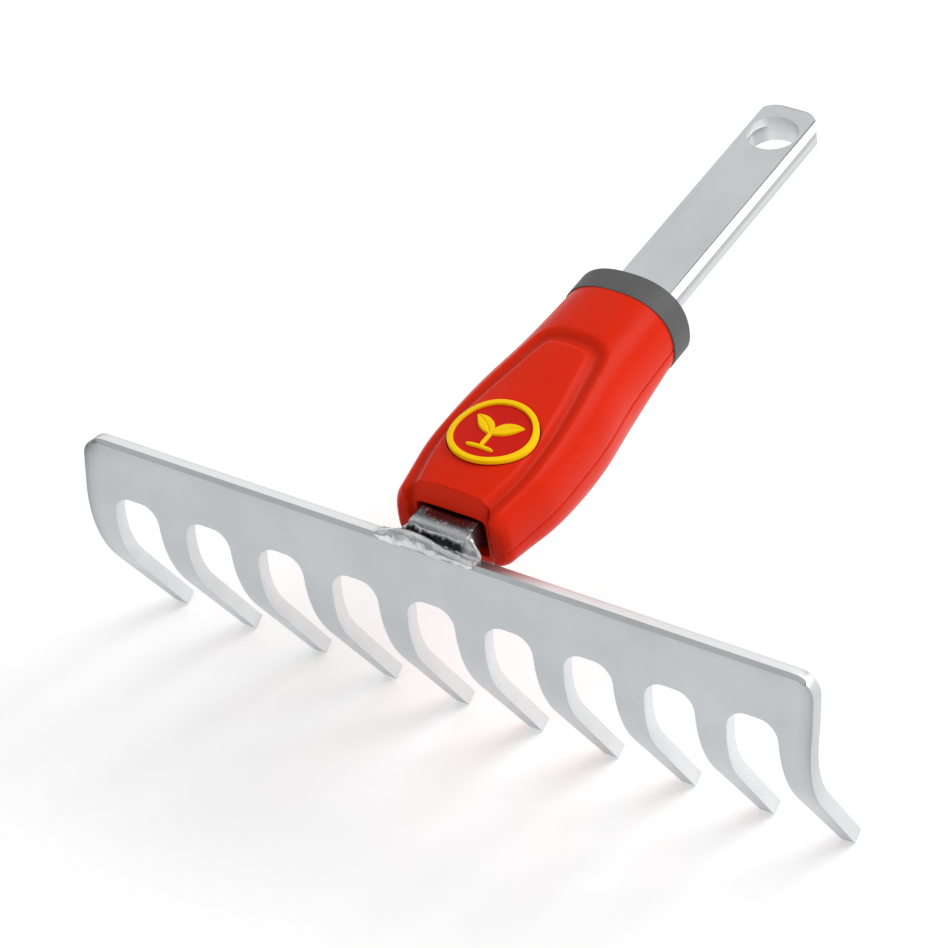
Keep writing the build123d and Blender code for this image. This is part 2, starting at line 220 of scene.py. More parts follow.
def blend(tree, kind, factor, first, second):
    """Mixes two colours; each of factor, first and second is a value or another node's output."""
    made = tree.nodes.new("ShaderNodeMix")
    made.data_type, made.blend_type = "RGBA", kind
    for socket, value in ((made.inputs[0], factor), (made.inputs[6], first), (made.inputs[7], second)):
        if isinstance(value, bpy.types.NodeSocket):
            tree.links.new(value, socket)
        elif isinstance(value, tuple):
            socket.default_value = (*value, 1)
        else:
            socket.default_value = value
    return made.outputs[2]


def bump(tree, shader, height, distance, strength=1.0, under=None):
    made = tree.nodes.new("ShaderNodeBump")
    made.inputs["Strength"].default_value = strength
    made.inputs["Distance"].default_value = distance * MM
    tree.links.new(height, made.inputs["Height"])
    if under is not None:
        tree.links.new(under, made.inputs["Normal"])
    tree.links.new(made.outputs["Normal"], shader.inputs["Normal"])
    return made.outputs["Normal"]


def plated_steel():
    """Satin zinc plate: rolled grain along the sheet, faint smudges and small dark specks; painted
    highlights on the tines' cut sides and the top edge, and painted shade at the top left corner.
    """
    made, tree, shader = new_material("plated_steel", Metallic=0.92, Specular_IOR_Level=0.5)
    smudge = ramp(tree, noise_factor(tree, 45, 5, 0.6, (1, 1, 0.6)), (0.42, 1.0), (0.78, 0.90))
    speck = ramp(tree, noise_factor(tree, 900, 3, 0.7, (0.35, 1, 1)), (0.70, 1.0), (0.80, 0.80))
    # painted highlight: faces turned along the comb (the cut sides of its tines and gaps, and its ends) are
    # painted lighter than its flat faces
    side_face_highlight = ramp(tree, normal_axis(tree, "X"),
                     (0.25, (0.575, 0.600, 0.615)), (0.55, (0.78, 0.81, 0.815)))
    tone = blend(tree, "MULTIPLY", 1.0, side_face_highlight, smudge)
    # painted highlight: the top edge is painted near white, but dull where the weld's heat reached it
    upward = normal_axis(tree, "Z", 0.5, 0.5)
    highlight_and_heat_tint = ramp(tree, object_axis(tree, "X", 10, 0.5),
                     (0.34, (0.98, 0.99, 0.99)), (0.38, (0.30, 0.29, 0.30)), (0.63, (0.30, 0.29, 0.30)),
                     (0.80, (0.98, 0.99, 0.99)))
    tone = blend(tree, "MIX", ramp(tree, upward, (0.955, 0.0), (0.985, 1.0)), tone, highlight_and_heat_tint)
    # both ends are darker, and the top left corner most of all, there with painted shade
    darker_ends = ramp(tree, object_axis(tree, "X", 10),
                      (0.915, 1.0), (0.935, 0.90), (0.947, 0.72))
    tone = blend(tree, "MULTIPLY", 1.0, tone, darker_ends)
    # painted shade: darker towards the left end, in a band just under the top edge
    painted_shade_from_left = ramp(tree, object_axis(tree, "X", 10, 0.95),
                     (0.0, 0.25), (0.02, 0.55), (0.05, 0.86), (0.12, 0.95), (0.30, 1.0))
    under_top = ramp(tree, object_axis(tree, "Z", 50, 0.6),
                     (0.10, 0.10), (0.35, 0.40), (0.50, 1.0), (0.545, 0.90), (0.565, 0.10))
    tone = blend(tree, "MULTIPLY", under_top, tone, painted_shade_from_left)
    tree.links.new(blend(tree, "MULTIPLY", 0.6, tone, speck), shader.inputs["Base Color"])
    rough = ramp(tree, noise_factor(tree, 60, 4, 0.55, (0.4, 1, 1)), (0.3, 0.34), (0.75, 0.46))
    tree.links.new(rough, shader.inputs["Roughness"])
    grain = noise_factor(tree, 2600, 2, 0.5, (0.12, 1, 1))
    waves = noise_factor(tree, 130, 3, 0.5)
    bump(tree, shader, grain, 0.012, 0.6, bump(tree, shader, waves, 0.10, 0.35))
    return made


def polished_tang():
    """Glossy zinc plate with soft stains and a few fine scratches; painted reflections on its right side
    and painted shade at its front end.
    """
    made, tree, shader = new_material("polished_tang", Metallic=1.0)
    stain = ramp(tree, noise_factor(tree, 70, 5, 0.6, (1, 0.6, 1)), (0.40, 1.0), (0.80, 0.86))
    tone = blend(tree, "MULTIPLY", 1.0, (0.72, 0.75, 0.755), stain)
    # painted reflections: the right side is bright above and dull below with a dark line between, and a
    # dark line runs along its top right edge
    across = normal_axis(tree, "X", 0.5, 0.5)
    side_height = object_axis(tree, "Z", 100, 0.5)
    side = ramp(tree, side_height, (0.480, (0.55, 0.58, 0.58)), (0.505, (0.46, 0.48, 0.48)),
                (0.575, (0.48, 0.50, 0.50)), (0.590, (0.20, 0.21, 0.21)), (0.615, (0.98, 0.99, 0.99)))
    right_side = ramp(tree, across, (0.80, 0.0), (0.90, 1.0))
    right_edge = ramp(tree, across, (0.56, 0.0), (0.64, 1.0), (0.80, 1.0), (0.88, 0.0))
    upward = ramp(tree, normal_axis(tree, "Z", 0.5, 0.5), (0.58, 0.0), (0.68, 1.0))
    right_edge = blend(tree, "MULTIPLY", 1.0, right_edge, upward)
    tone = blend(tree, "MIX", right_side, tone, side)
    tone = blend(tree, "MIX", right_edge, tone, (0.11, 0.115, 0.12))
    # painted shade and dark reflection where the front end runs out of the housing's mouth, flecked with
    # light specks
    mouth_shade = ramp(tree, object_axis(tree, "Y", 10),
                     (0.775, 0.0), (0.800, 0.95), (0.835, 0.92), (0.848, 0.30))
    flecks = ramp(tree, noise_factor(tree, 1300, 4, 0.7), (0.58, (0.085, 0.090, 0.094)),
                  (0.66, (0.75, 0.77, 0.77)))
    tone_with_mouth_shade = blend(tree, "MIX", mouth_shade, tone, flecks)
    tree.links.new(tone_with_mouth_shade, shader.inputs["Base Color"])
    rough = ramp(tree, noise_factor(tree, 90, 4, 0.6), (0.35, 0.14), (0.8, 0.30))
    sawn = ramp(tree, normal_axis(tree, "Y"), (0.08, 0.0), (0.25, 1.0))
    tree.links.new(blend(tree, "MIX", sawn, rough, (0.55, 0.55, 0.55)), shader.inputs["Roughness"])
    scratches = ramp(tree, noise_factor(tree, 700, 3, 0.6, (1, 0.06, 1)), (0.60, 0.0), (0.75, 1.0))
    waves = noise_factor(tree, 160, 3, 0.5, (1, 0.7, 1))
    bump(tree, shader, scratches, 0.01, 0.4, bump(tree, shader, waves, 0.06, 0.35))
    return made


def weld_metal():
    """Plated weld: bright and lumpy, with painted shade in its hollows and darker pits."""
    made, tree, shader = new_material("weld", Metallic=0.9)
    tone = ramp(tree, noise_factor(tree, 260, 4, 0.6), (0.34, (0.52, 0.54, 0.55)),
                (0.50, (0.66, 0.68, 0.69)), (0.70, (0.86, 0.87, 0.87)))
    # painted shade in the bead's hollow, from a mark stored on the mesh
    hollow_shade = tree.nodes.new("ShaderNodeAttribute")
    hollow_shade.attribute_name = "hollow_shade"
    tree.links.new(blend(tree, "MIX", hollow_shade.outputs["Fac"], tone, (0.030, 0.032, 0.034)),
                   shader.inputs["Base Color"])
    rough = ramp(tree, noise_factor(tree, 300, 4, 0.6), (0.3, 0.20), (0.8, 0.42))
    tree.links.new(rough, shader.inputs["Roughness"])
    bump(tree, shader, noise_factor(tree, 900, 4, 0.6), 0.08, 0.9)
    return made


GROOVE_SHADE = 0.74  # the share of its colour that plastic keeps at the bottom of a groove, as painted shade, and on the seam, as its dark line


def moulded_plastic(name, colour, tint, low_gloss, high_gloss, grain=0.006, level=0.3):
    """Moulded plastic: slight colour drift, uneven gloss and a very fine texture."""
    made, tree, shader = new_material(name, IOR=1.5, Specular_IOR_Level=level)
    drift = ramp(tree, noise_factor(tree, 60, 4, 0.55), (0.3, colour), (0.75, tint))
    # painted shade at the bottom of the panel's groove, and a dark line on the seam, by a mark stored on
    # the mesh
    groove_shade_and_seam = tree.nodes.new("ShaderNodeAttribute")
    groove_shade_and_seam.attribute_name = "groove_shade_and_seam"
    deep = tuple(c * GROOVE_SHADE for c in colour)
    tree.links.new(blend(tree, "MIX", groove_shade_and_seam.outputs["Fac"], drift, deep), shader.inputs["Base Color"])
    gloss = ramp(tree, noise_factor(tree, 120, 2, 0.5), (0.2, low_gloss), (0.85, high_gloss))
    tree.links.new(gloss, shader.inputs["Roughness"])
    bump(tree, shader, noise_factor(tree, 700, 1, 0.5), grain, 0.4)
    return made


def machined_steel(name, colour, low_gloss, high_gloss):
    made, tree, shader = new_material(name, Metallic=1.0)
    tone = ramp(tree, noise_factor(tree, 500, 4, 0.6), (0.3, tuple(c * 0.8 for c in colour)),
                (0.7, colour))
    tree.links.new(tone, shader.inputs["Base Color"])
    rough = ramp(tree, noise_factor(tree, 800, 3, 0.5), (0.3, low_gloss), (0.7, high_gloss))
    tree.links.new(rough, shader.inputs["Roughness"])
    bump(tree, shader, noise_factor(tree, 5000, 2, 0.5, (1, 1, 0.1)), 0.006, 0.5)
    return made


STEEL = plated_steel()
TANG = polished_tang()
WELD = weld_metal()
RED = moulded_plastic("red_plastic", (0.73, 0.022, 0.003), (0.69, 0.019, 0.002), 0.27, 0.35, level=0.07)
DARK_RED = moulded_plastic("dark_red_plastic", (0.64, 0.011, 0.004), (0.59, 0.009, 0.003),
                           0.34, 0.44, level=0.08)
YELLOW = moulded_plastic("yellow_plastic", (1.0, 0.64, 0.001), (0.98, 0.60, 0.001), 0.34, 0.44, level=0.07)
GREY = moulded_plastic("grey_plastic", (0.105, 0.105, 0.107), (0.092, 0.092, 0.094), 0.50, 0.62, 0.012)
BLACK = moulded_plastic("black_plastic", (0.020, 0.020, 0.021), (0.014, 0.014, 0.015), 0.45, 0.6, 0.01)
LOCK = machined_steel("lock_steel", (0.55, 0.56, 0.57), 0.22, 0.36)
SPRING = machined_steel("spring_steel", (0.42, 0.43, 0.45), 0.28, 0.42)

# ------------------------------------------------------------------------------- comb

TANG_HALF = 3.5
COMB_WIDTH, SHEET, COMB_LEAN = 190.0, 3.5, radians(11.7)
COMB_EDGE = Vector((0, -89.9, -0.1))
COMB_BACK = Vector((0, cos(COMB_LEAN), -sin(COMB_LEAN)))
COMB_UP = Vector((0, sin(COMB_LEAN), cos(COMB_LEAN)))
COMB_CORNER, COMB_EDGE_BREAK, COMB_SOFT_EDGE = 5.0, 0.9, 0.35
TINES, TINE_PITCH, TINE_ROOT, TINE_TIP = 10, 20.2, 8.2, 3.6
GAP_TOP, GAP_CORNER = 13.7, 4.5
FLAT_LENGTH, BEND_RADIUS, BEND_ANGLE, TINE_STRAIGHT = 15.0, 34.75, radians(40), 30.2


def on_comb(x, u, v):
    """A point at x, u behind the comb's front face and v above its top edge."""
    return COMB_EDGE + Vector((x, 0, 0)) + COMB_BACK * u + COMB_UP * v


def comb_profile(along):
    """Depth, height and turn of the comb's front face at a length along it from the top edge."""
    turn = min(BEND_ANGLE, max(0.0, (along - FLAT_LENGTH) / BEND_RADIUS))
    beyond = max(0.0, along - FLAT_LENGTH - BEND_RADIUS * BEND_ANGLE)
    depth = BEND_RADIUS * (1 - cos(turn)) + beyond * sin(turn)
    height = -min(along, FLAT_LENGTH) - BEND_RADIUS * sin(turn) - beyond * cos(turn)
    return depth, height, turn


def bend_comb(point):
    """Takes a point of the flat blank (x, length along, depth in the sheet) to its bent place."""
    x, along, inside = point
    depth, height, turn = comb_profile(along)
    return on_comb(x, depth + inside * cos(turn), height + inside * sin(turn))


def on_front_of_top_edge(edge):
    """Whether an edge of the flat blank is the one between its front face and its top edge."""
    return all(v.co.y < 1.0 and v.co.z < 0.01 for v in edge.verts)


def build_comb():
    """The blank is laid out flat as a slab, its edges are broken, and then all of it is bent."""
    bend_end = FLAT_LENGTH + BEND_RADIUS * BEND_ANGLE
    blank_end = bend_end + TINE_STRAIGHT
    drop_end = -comb_profile(blank_end)[1]
    widening = (TINE_ROOT - TINE_TIP) / 2 / (drop_end - GAP_TOP)

    def tine_half(drop, outer):
        half = TINE_ROOT / 2 - widening * max(0.0, drop - GAP_TOP)
        into = min(1.0, (drop - GAP_TOP) / GAP_CORNER)
        flare = 0.0 if outer else GAP_CORNER * (1 - sqrt(max(0.0, 1 - (1 - into) ** 2)))
        return half + flare

    def corner_drop(x):
        beyond = max(0.0, abs(x) - COMB_WIDTH / 2 + COMB_CORNER)
        return COMB_CORNER - sqrt(max(0.0, COMB_CORNER**2 - beyond**2))

    corner_rows = [GAP_TOP + GAP_CORNER * (1 - cos(a)) for a in np.linspace(0, pi / 2, 10)]
    lengths = [d if d <= FLAT_LENGTH else FLAT_LENGTH + BEND_RADIUS * asin((d - FLAT_LENGTH) / BEND_RADIUS)
               for d in corner_rows]
    lengths += list(np.linspace(lengths[-1], bend_end, 12))[1:]
    lengths += list(np.linspace(bend_end, blank_end, 6))[1:]
    steps = np.linspace(0, 1, 5)
    root_flare = tine_half(GAP_TOP, False)
    bm = bmesh.new()
    for i in range(TINES):
        centre = (i - (TINES - 1) / 2) * TINE_PITCH
        outer = {-1: i == 0, 1: i == TINES - 1}
        for side in (-1, 1):
            shares = steps
            if outer[side]:
                first = asin((abs(centre) - COMB_WIDTH / 2 + COMB_CORNER) / COMB_CORNER)
                turns = [first + (pi / 2 - first) * t for t in np.linspace(0, 1, 9)]
                places = [COMB_WIDTH / 2 - COMB_CORNER * (1 - sin(a)) for a in turns]
                shares = [(x - abs(centre)) / (TINE_ROOT / 2) for x in places]
                columns = [(side * x, corner_drop(x)) for x in places]
            else:
                spread = [*(root_flare * t for t in steps),
                          (root_flare + TINE_PITCH / 2) / 2, TINE_PITCH / 2]
                columns = [(centre + side * x, corner_drop(centre + side * x)) for x in spread]
            rows = [[(centre + side * tine_half(-comb_profile(s)[1], outer[side]) * t, s, 0)
                     for t in shares] for s in lengths]
            bar = [[(x, top + (GAP_TOP - top) * t, 0) for x, top in columns] for t in np.linspace(0, 1, 6)]
            grid_faces(bm, bar)
            grid_faces(bm, rows)
    bmesh.ops.remove_doubles(bm, verts=bm.verts[:], dist=1e-3)
    bmesh.ops.recalc_face_normals(bm, faces=bm.faces[:])
    back = bmesh.ops.extrude_face_region(bm, geom=bm.faces[:])["geom"]
    behind = [g for g in back if isinstance(g, bmesh.types.BMVert)]
    bmesh.ops.translate(bm, vec=(0, 0, SHEET), verts=behind)
    bmesh.ops.recalc_face_normals(bm, faces=bm.faces[:])
    round_edges(bm, COMB_EDGE_BREAK, 60, 1, on_front_of_top_edge)
    round_edges(bm, COMB_SOFT_EDGE, 35, 3)
    for v in bm.verts:
        v.co = bend_comb(v.co)
    bmesh.ops.recalc_face_normals(bm, faces=bm.faces[:])
    return piece("comb", bm, "head", "plated_steel", STEEL, "rake_comb")


# ------------------------------------------------------------------------------- weld beads

BEAD_FROM, BEAD_TO, BEAD_LUMP = -14.6, 11.0, 0.22
RIDGE_HEIGHTS = [(-15, 0.1), (-12.5, 1.5), (-9, 2.7), (-5, 3.2), (-1, 2.6), (3, 1.6), (7, 1.0), (12, 0.2)]
CLIMB_HEIGHTS = [(-15, 0.1), (-10, 0.8), (-7.6, 3.3), (-3, 3.1), (2, 3.4), (6, 3.2), (8.5, 4.3),
                 (10.0, 2.4), (11.2, 0.2)]
# where the painted shade lies in the top bead's hollow: its middle column and the inner and outer reach of
# its border
HOLLOW_SHADE_COLUMN, HOLLOW_SHADE_INNER, HOLLOW_SHADE_OUTER = 26.0, 1.8, 3.2
UNDER_LUMP, RIPPLE_PITCH, RIPPLE_HEIGHT = 0.14, 1.5, 0.18


def lumpy(point, size, height):
    """How far a point of a weld bead is pushed out by the bead's lumps."""
    return height * noise.fractal(Vector(point) / size, 0.8, 2.0, 4)


# a bead without painted shade
def unshaded(row, column):
    return 0.0


def bead(name, rows, lump, node, hollow_shade=unshaded):
    """A closed weld bead from rows of points, roughened along its own normals, with painted shade stored on
    its points.
    """
    bm = bmesh.new()
    shade_layer = bm.verts.layers.float.new("hollow_shade")
    for i, row in enumerate(grid_faces(bm, rows, closed_columns=True)):
        for j, v in enumerate(row):
            v[shade_layer] = hollow_shade(i / (len(rows) - 1), j)
    close_ends(bm)
    bm.normal_update()
    for v, normal in [(v, v.normal.copy()) for v in bm.verts]:
        v.co += normal * (lumpy(v.co, 3.2, lump) + lumpy(v.co, 0.9, lump * 0.22))
    return piece(name, bm, "head", "weld", WELD, node, crease=60)


def build_bead_top():
    """The bead lies over the comb's top edge, dips behind it and climbs the tang's front end."""
    rows = []
    for x in np.linspace(BEAD_FROM, BEAD_TO, 110):
        ridge, climb = (float(curve_through(stops, x)) for stops in (RIDGE_HEIGHTS, CLIMB_HEIGHTS))
        foot = -0.9 - 0.5 * noise.noise(Vector((x / 3, 0, 0)))
        end = smoothstep(-14.8, -12.5, x) * (1 - smoothstep(9.5, 11.4, x))
        outline = [(-0.02, foot * end), (-0.14 * end, foot * 0.5), (-0.20 * end, 0.25 * ridge),
                   (0.35, 0.85 * ridge), (1.1, ridge), (1.9, 0.8 * ridge),
                   (2.35, 0.38 * ridge + 0.02 * climb), (2.85, 0.15 * ridge + 0.30 * climb),
                   (3.35, 0.92 * climb), (3.9, climb)]
        across = np.linspace(0, len(outline) - 1, 34)
        us = curve_through([(k, p[0]) for k, p in enumerate(outline)], across)
        vs = curve_through([(k, p[1]) for k, p in enumerate(outline)], across)
        ring = [on_comb(x, u, v) for u, v in zip(us, vs)]
        rows.append(ring + [on_comb(x, 3.4, -1.0), on_comb(x, 1.5, -1.4), on_comb(x, 0.3, -1.2)])

    def hollow_shade(along, column):
        """Painted shade in the hollow behind the ridge, with a ragged border, and light at both ends."""
        wobble = 2.2 * noise.noise(Vector((along * 26, column * 0.25, 5)))
        hollow = 1 - smoothstep(HOLLOW_SHADE_INNER, HOLLOW_SHADE_OUTER, abs(column - HOLLOW_SHADE_COLUMN + wobble))
        return hollow * smoothstep(0.05, 0.16, along) * (1 - 0.75 * smoothstep(0.80, 0.9, along))

    return bead("weld_bead_front", rows, BEAD_LUMP, "weld_bead_top", hollow_shade)


def build_bead_under():
    """A rippled fillet between the comb's back and the underside of the tang."""
    low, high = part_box("weld_bead_under")
    heel_y, toe_z, top_z = high.y / MM, low.z / MM, -TANG_HALF
    rows = []
    for x in np.linspace(low.x / MM, high.x / MM, 120):
        swell = RIPPLE_HEIGHT * abs(sin(pi * x / RIPPLE_PITCH)) + 0.25 * noise.noise(Vector((x / 4, 3, 0)))
        corner = on_comb(x, SHEET, 0)
        arc = []
        for turn in np.linspace(0, pi / 2, 18):
            bulge = 0.72 + 0.10 * sin(2 * turn)
            y = corner.y + 0.2 + (heel_y - corner.y - 0.6) * (1 - sin(turn)) ** bulge
            z = top_z + (toe_z - top_z) * (1 - cos(turn)) ** bulge
            arc.append(Vector((x, y + swell * sin(turn) * 0.5, z - swell * cos(turn) * 0.5)))
        rows.append(arc + [Vector((x, corner.y - 0.8, toe_z + 0.6)),
                           Vector((x, corner.y - 0.6, top_z + 0.4)),
                           Vector((x, heel_y - 0.8, top_z + 0.5))])
    return bead("weld_bead_back", rows, UNDER_LUMP, "weld_bead_under")


# ------------------------------------------------------------------------------- housing

STATIONS = [  # y, half width, top, bottom
    (-80.6, 14.8, 9.8, -9.6),
    (-73.2, 15.9, 10.6, -11.0),
    (-65.2, 17.2, 11.1, -12.6),
    (-55.2, 17.5, 11.4, -14.6),
    (-43.2, 17.2, 11.3, -15.6),
    (-27.2, 15.3, 11.4, -15.8),
    (-7.4, 14.5, 11.1, -11.9),
]
NOSE_Y, COLLAR_Y = STATIONS[0][0], STATIONS[-1][0]
NOSE_SEAM, COLLAR_SEAM = -2.7, -1.7
WALL, SIDE_POWER, TOP_POWER_NOSE, TOP_POWER_COLLAR = 2.4, 2.3, 3.0, 2.4
MOUTH_HALF_WIDTH, MOUTH_TOP, MOUTH_BOTTOM, MOUTH_POWER, MOUTH_DEPTH = 8.8, 4.1, -6.6, 14, 3.2
SPIGOT, SOCKET, SPIGOT_END_Y = (13.3, 9.8, -10.5), (11.6, 8.3, -9.0), -1.8
SOCKET_END_Y, RIB_PLACES, RIB_THICK = -69.0, (-46.0, -30.0, -12.0), 2.0
BUTTON_Y, BUTTON_R, BUTTON_GAP, CAP_TOP = -60.6, 10.35, 0.2, 11.6
SPRING_R, SPRING_WIRE, SPRING_TURNS, SPRING_CLOSED, SPRING_GIVE = 3.2, 0.8, 5, 0.8, 2.03
# half of the groove's middle line (x, y), from the top of its arch to the nose
GROOVE = [(0.0, -25.6), (4.4, -25.9), (7.0, -27.2), (8.3, -30.3), (9.3, -35.5), (10.7, -44.5),
          (12.0, -56.5), (12.0, -69.0), (10.8, -77.5), (9.7, -84.0)]
GROOVE_ARCH_REACH, GROOVE_LEG_REACH, GROOVE_DEPTH = 2.9, 1.8, 1.25
SEAM_ROUND, SEAM_REACH, SEAM_MARK = 0.36, 0.60, 0.30
NOSE_FRONT_Y, NOSE_ROUND, NOSE_INSET = -81.5, 2.6, (1.9, 0.9, 1.8)
NOSE_LEAN, NOSE_RECESS, NOSE_STEP = 0.28, 1.2, (9.6, 10.9)


def station(y):
    """Half width, top, bottom, seam height and top power of the housing's section at y."""
    values = [float(curve_through([(s[0], s[k]) for s in STATIONS], y)) for k in (1, 2, 3)]
    along = (y - NOSE_Y) / (COLLAR_Y - NOSE_Y)
    seam = NOSE_SEAM + (COLLAR_SEAM - NOSE_SEAM) * along
    return *values, seam, TOP_POWER_NOSE + (TOP_POWER_COLLAR - TOP_POWER_NOSE) * along


def half_oval(half_width, reach, power, shares):
    """Points (x, rise) on half a superellipse, at shares of its length from +x over to -x."""
    turn = pi * (1 - np.cos(np.linspace(0, pi, 600))) / 2
    across = half_width * np.sign(np.cos(turn)) * np.abs(np.cos(turn)) ** (2 / power)
    rise = reach * np.sin(turn).clip(0) ** (2 / power)
    length = np.concatenate([[0], np.cumsum(np.hypot(np.diff(across), np.diff(rise)))])
    return np.interp(shares * length[-1], length, across), np.interp(shares * length[-1], length, rise)


def shell_outline(upper, sizes, seam, power, shares):
    """One row of points (x, z) of a shell: its own half of an oval (half width, top, bottom)."""
    half_width, top, bottom = sizes
    reach = top - seam if upper else seam - bottom
    across, rise = half_oval(half_width, reach, power, shares)
    return across, seam + (rise if upper else -rise)


def groove_line():
    """The middle line of the thumb panel's groove, over both legs and round its arch."""
    stops = [(-x, y) for x, y in GROOVE[:0:-1]] + GROOVE
    far = [0.0]
    for near, point in zip(stops, stops[1:]):
        far.append(far[-1] + hypot(point[0] - near[0], point[1] - near[1]))
    along = np.linspace(0, far[-1], 220)
    return np.array([curve_through([(a, p[k]) for a, p in zip(far, stops)], along) for k in (0, 1)]).T


GROOVE_LINE = groove_line()


def panel_relief(x, y):
    """How far the housing's top is pressed in at (x, y) by the groove round the thumb panel."""
    starts, ends = GROOVE_LINE[:-1], GROOVE_LINE[1:]
    runs = ends - starts
    share = np.clip(((np.array((x, y)) - starts) * runs).sum(1) / np.maximum((runs**2).sum(1), 1e-9), 0, 1)
    nearest = starts + runs * share[:, None]
    away = float(np.hypot(x - nearest[:, 0], y - nearest[:, 1]).min())
    reach = GROOVE_ARCH_REACH + (GROOVE_LEG_REACH - GROOVE_ARCH_REACH) * smoothstep(7, 12, abs(x))
    if away >= reach:
        return 0.0
    return GROOVE_DEPTH * (0.5 + 0.5 * cos(pi * away / reach)) ** 0.8


def mark_groove(shell):
    """Stores on the shell's outside how deep each point lies in the groove, for painted shade there, and
    how near it lies to the seam, for the seam's dark line.
    """
    marks = shell.data.attributes.new("groove_shade_and_seam", "FLOAT", "POINT")
    for v, mark in zip(shell.data.vertices, marks.data):
        x, y, z = v.co / MM
        if z > 0.5 * crown(x, y) and z > 3:
            mark.value = (panel_relief(x, y) / GROOVE_DEPTH) ** 1.3
        from_seam = abs(z - station(y)[3])
        if from_seam < SEAM_MARK:
            mark.value = max(mark.value, 1 - from_seam / SEAM_MARK)


def crown(x, y=BUTTON_Y):
    """Height of the housing's top at (x, y), before the groove and the button's hole."""
    half_width, top, _, seam, power = station(y)
    return seam + (top - seam) * max(0.0, 1 - (abs(x) / half_width) ** power) ** (1 / power)


def nose_set_back(x, z):
    """How far the nose's front face lies behind its two cheeks at (x, z): it leans back above the mouth."""
    middle = 1 - smoothstep(NOSE_STEP[0], NOSE_STEP[1], abs(x))
    return (NOSE_RECESS + NOSE_LEAN * max(0.0, z - MOUTH_TOP)) * middle


def shell_rows(upper):
    """Closed rows from the collar over the outside, round the nose and back along the hollow."""
    edge = np.array([0, 0.003, 0.007, 0.012])
    shares = np.concatenate([edge, np.linspace(0.02, 0.98, 120), 1 - edge[::-1]])
    rows = []

    def add(y, sizes, seam, power, relief=False, inset=0.0):
        """A row of points round the section at y; relief presses in the groove and rounds the seam."""
        half_width, top, bottom = sizes
        across, height = shell_outline(upper, (half_width - inset, top - inset, bottom + inset),
                                       seam, power, shares)
        rows.append([[a, y, h] for a, h in zip(across, height)])
        if relief:
            for p in rows[-1]:
                press = panel_relief(p[0], p[1]) if upper and p[2] > 0 else 0.0
                from_seam = abs(p[2] - seam)
                rounding = SEAM_ROUND * (1 - min(1.0, from_seam / SEAM_REACH)) ** 2
                towards = -np.array([p[0] * 0.7, p[2] - seam + 1e-6])
                towards = towards / np.linalg.norm(towards)
                p[0] += towards[0] * press * 0.5 - np.sign(p[0]) * rounding
                p[2] += towards[1] * press
        return rows[-1]

    for y in np.linspace(COLLAR_Y, NOSE_FRONT_Y + NOSE_ROUND, 134):
        half_width, top, bottom, seam, power = station(y)
        add(y, (half_width, top, bottom), seam, power, relief=True)
    # the nose: small round at the top edge, larger rounds at the sides
    for turn in np.linspace(0, pi / 2, 11)[1:]:
        y = NOSE_FRONT_Y + NOSE_ROUND * (1 - sin(turn))
        half_width, top, bottom, seam, power = station(y)
        shrink = 1 - cos(turn)
        sizes = (half_width - NOSE_INSET[0] * shrink, top - NOSE_INSET[1] * shrink,
                 bottom + NOSE_INSET[2] * shrink)
        for p in add(y, sizes, seam, power, relief=turn < 1.2):
            p[1] += nose_set_back(p[0], p[2]) * sin(turn)
    last = rows[-1]
    mouth = (MOUTH_HALF_WIDTH, MOUTH_TOP, MOUTH_BOTTOM)
    mouth_x, mouth_z = shell_outline(upper, mouth, NOSE_SEAM, MOUTH_POWER, shares)
    for share in (0.10, 0.20, 0.30, 0.40, 0.50, 0.60, 0.70, 0.82, 0.94, 1.0):
        back = 0.25 if share == 1.0 else 0.0
        row = [[p[0] + (mx - p[0]) * share, 0.0, p[2] + (mz - p[2]) * share]
               for p, mx, mz in zip(last, mouth_x, mouth_z)]
        for p in row:
            p[1] = NOSE_FRONT_Y + nose_set_back(p[0], p[2]) + back
        rows.append(row)
    rows.append([[mx, NOSE_Y + MOUTH_DEPTH, mz] for mx, mz in zip(mouth_x, mouth_z)])
    for y in (NOSE_Y + MOUTH_DEPTH, SOCKET_END_Y):
        half_width, top, bottom, seam, power = station(y)
        add(y, (half_width, top, bottom), seam, power, inset=WALL)
    end_power = TOP_POWER_COLLAR if upper else SIDE_POWER
    walls = [SOCKET_END_Y] + [y + k * RIB_THICK / 2 for y in RIB_PLACES for k in (-1, 1)] + [COLLAR_Y]
    for k, y in enumerate(walls):
        half_width, top, bottom, seam, power = station(y)
        hollow = ((half_width, top, bottom), seam, power)
        rib = (SOCKET, seam, end_power)
        order = (hollow,)
        if 0 < k < len(walls) - 1:
            order = (hollow, rib) if k % 2 else (rib, hollow)
        for form in order:
            add(y, *form, inset=WALL if form is hollow else 0.0)
    add(COLLAR_Y, SOCKET, COLLAR_SEAM, end_power)
    add(SPIGOT_END_Y, SOCKET, COLLAR_SEAM, end_power)
    add(SPIGOT_END_Y, SPIGOT, COLLAR_SEAM, end_power)
    add(COLLAR_Y, SPIGOT, COLLAR_SEAM, end_power)
    return rows


def build_shell(name, upper, node):
    bm = bmesh.new()
    grid_faces(bm, shell_rows(upper), closed_rows=True)
    bmesh.ops.remove_doubles(bm, verts=bm.verts[:], dist=1e-4)
    close_ends(bm)
    return piece(name, bm, "head", "red_plastic", RED, node, crease=28)


AXIS_R = 0.01  # a turned form starts this far off its axis
WELL_FLOOR = 2.0


def level(x, y):
    return 0.0


def lathe(bm, profile, centre_y, turns=160, height=level):
    """A round form about a vertical axis from (radius, height) points, raised by height(x, y)."""
    rows = []
    for r, z in profile:
        row = []
        for k in range(turns):
            a = 2 * pi * k / turns
            x, y = r * cos(a), centre_y + r * sin(a)
            row.append((x, y, z + height(x, y)))
        rows.append(row)
    grid_faces(bm, rows, closed_columns=True)


def button_height(x, y):
    """How much lower the button's top is at x than over its middle: it follows the housing."""
    return crown(x) - crown(0)


